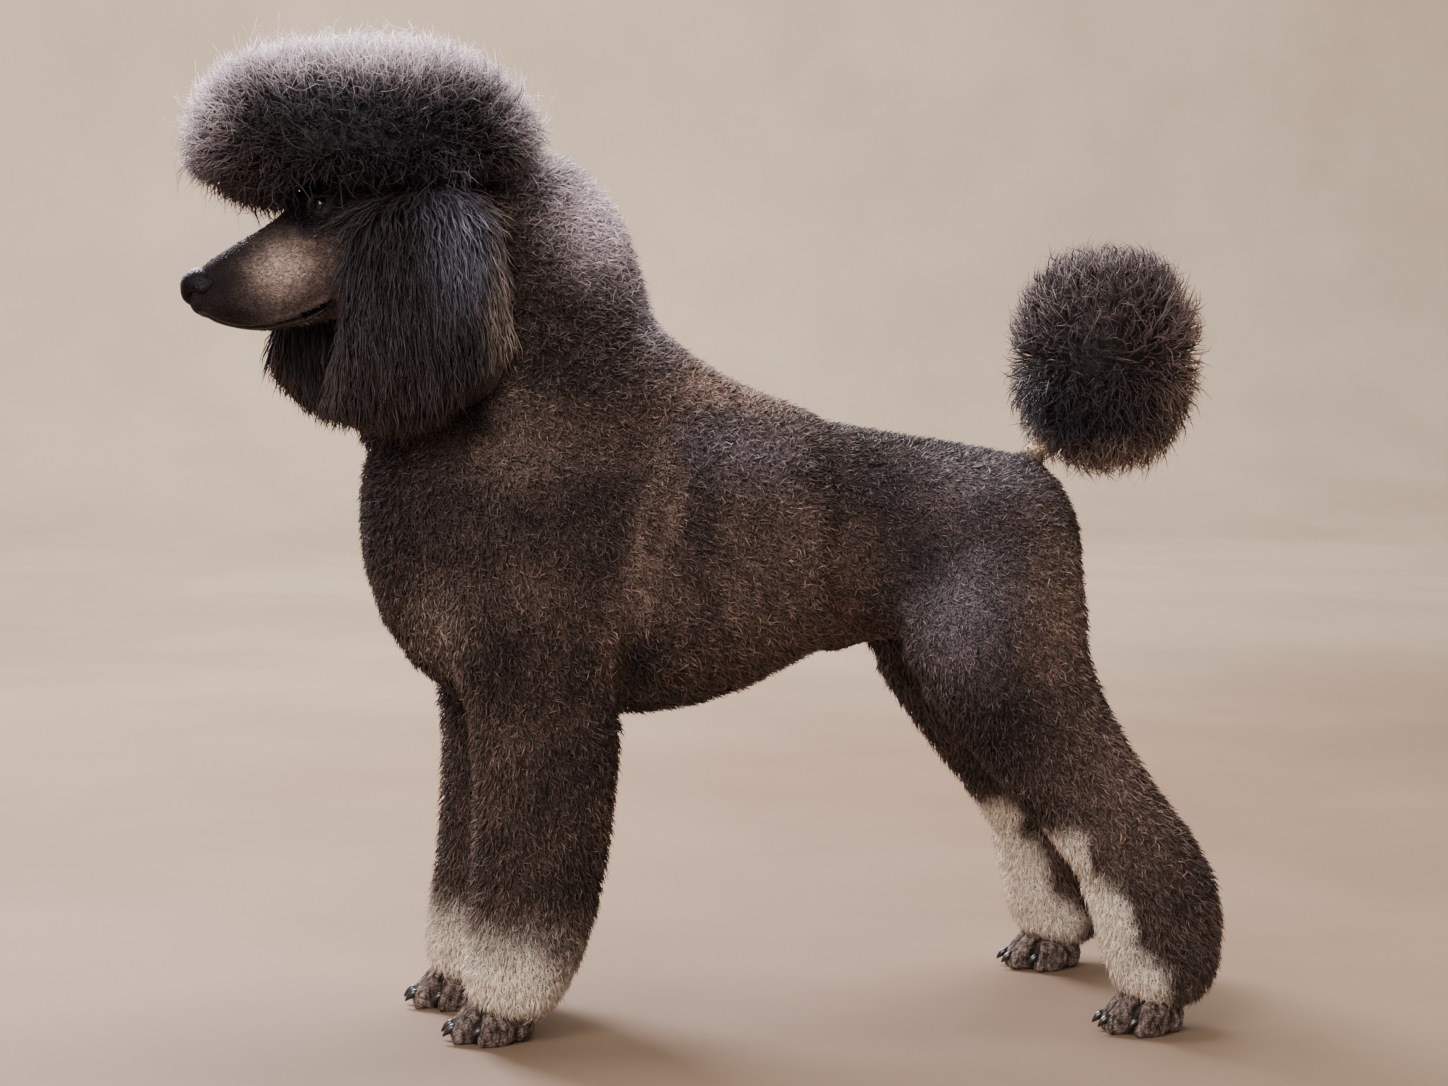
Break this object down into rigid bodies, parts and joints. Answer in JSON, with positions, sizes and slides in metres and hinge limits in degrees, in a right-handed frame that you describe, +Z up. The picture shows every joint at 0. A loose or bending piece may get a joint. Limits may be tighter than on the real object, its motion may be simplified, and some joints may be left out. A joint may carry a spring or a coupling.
{
  "type": "standard poodle",
  "caption": "Life-size model of a standing standard poodle: rounded topknot and tail pom, long-haired ears, full trimmed coat, bare muzzle and shaved feet.",
  "frame": {"origin": "middle of the dog's box, on the floor that its four paws stand on", "axes": "the nose points along -X and the tail is on the +X side, +Y is the dog's right side, +Z is up"},
  "size_m": [0.9576, 0.364, 0.9084],
  "materials": {
    "body_coat": "dense clipped curly coat, dark grey-brown with tan streaks, matte",
    "leg_coat": "dense brushed curly coat, grey-brown, matte",
    "pale_coat": "fluffy cream coat above the feet, matte",
    "crown_coat": "long brushed-out curls, blue-black under a silvery lilac rim, soft",
    "ear_coat": "long wavy locks, dark brown-black with a soft sheen",
    "face_coat": "very short shaved fur, taupe and dark grey-brown",
    "tail_coat": "very short shaved fur, pale",
    "paw_skin": "shaved feet, short dark grey-brown fur over the toes and black pads, satin",
    "nose_leather": "moist pebbled black nose leather, glossy",
    "eye": "dark brown glassy eye, wet gloss",
    "claw": "black horn, polished"
  },
  "bodies": {
    "root": {"neck": "body_coat", "chest": "body_coat", "loin": "body_coat", "rump": "body_coat", "sheath": "face_coat", "lower_jaw": "face_coat", "skull": "face_coat", "muzzle": "face_coat", "nose": "nose_leather", "eye_left": "eye", "eye_right": "eye", "topknot": "crown_coat", "ear_left": "ear_coat", "ear_right": "ear_coat", "tail_pom": "crown_coat", "tail": "tail_coat", "foreleg_left": "leg_coat", "fore_cuff_left": "pale_coat", "thigh_left": "body_coat", "shank_left": "leg_coat", "hind_cuff_left": "pale_coat", "fore_claw_left_1": "claw", "fore_claw_left_2": "claw", "fore_claw_left_3": "claw", "fore_claw_left_4": "claw", "forepaw_left": "paw_skin", "hind_claw_left_1": "claw", "hind_claw_left_2": "claw", "hind_claw_left_3": "claw", "hind_claw_left_4": "claw", "hindpaw_left": "paw_skin", "foreleg_right": "leg_coat", "fore_cuff_right": "pale_coat", "thigh_right": "body_coat", "shank_right": "leg_coat", "hind_cuff_right": "pale_coat", "fore_claw_right_1": "claw", "fore_claw_right_2": "claw", "fore_claw_right_3": "claw", "fore_claw_right_4": "claw", "forepaw_right": "paw_skin", "hind_claw_right_1": "claw", "hind_claw_right_2": "claw", "hind_claw_right_3": "claw", "hind_claw_right_4": "claw", "hindpaw_right": "paw_skin"}
  },
  "joints": []
}
